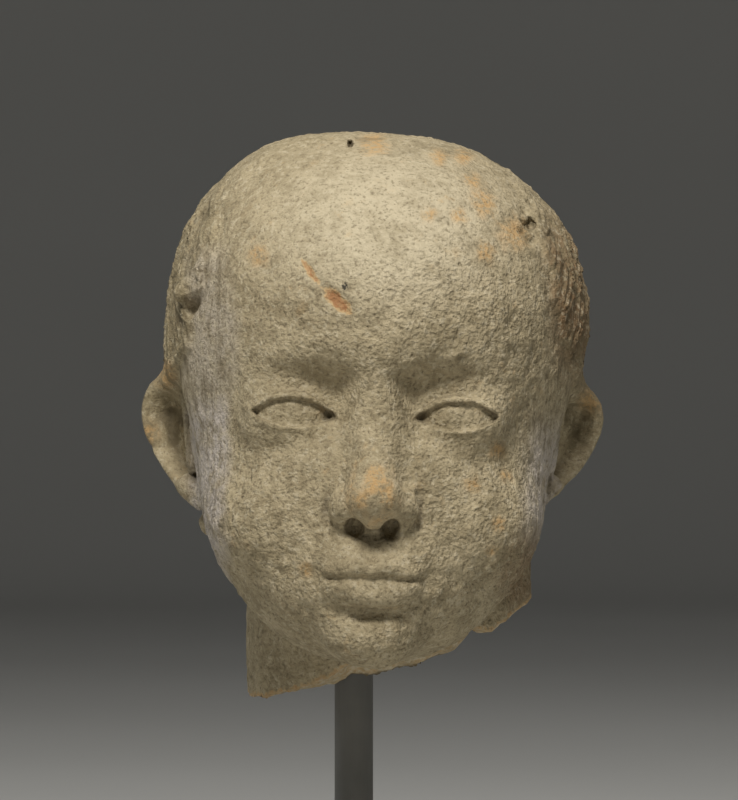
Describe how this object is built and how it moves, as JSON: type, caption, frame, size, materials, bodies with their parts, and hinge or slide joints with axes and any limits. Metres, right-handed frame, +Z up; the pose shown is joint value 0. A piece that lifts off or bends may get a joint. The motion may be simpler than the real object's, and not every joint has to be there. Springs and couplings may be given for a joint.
{
  "type": "terracotta head",
  "caption": "Hollow fired-clay head of a young child, broken off at the neck, held up on a round metal rod with a flat square foot.",
  "frame": {"origin": "centre of the foot plate's underside, below the rod", "axes": "+Z up along the rod, the face looks along -Y, +X to the viewer's right"},
  "size_m": [0.1518, 0.1842, 0.2796],
  "materials": {
    "terracotta": "matt worn buff terracotta with grey soil deposit and orange breaks",
    "rod_metal": "satin dark grey paint",
    "foot_metal": "satin dark grey paint"
  },
  "bodies": {
    "root": {"head": "terracotta", "rod": "rod_metal", "base_plate": "foot_metal"}
  },
  "joints": []
}
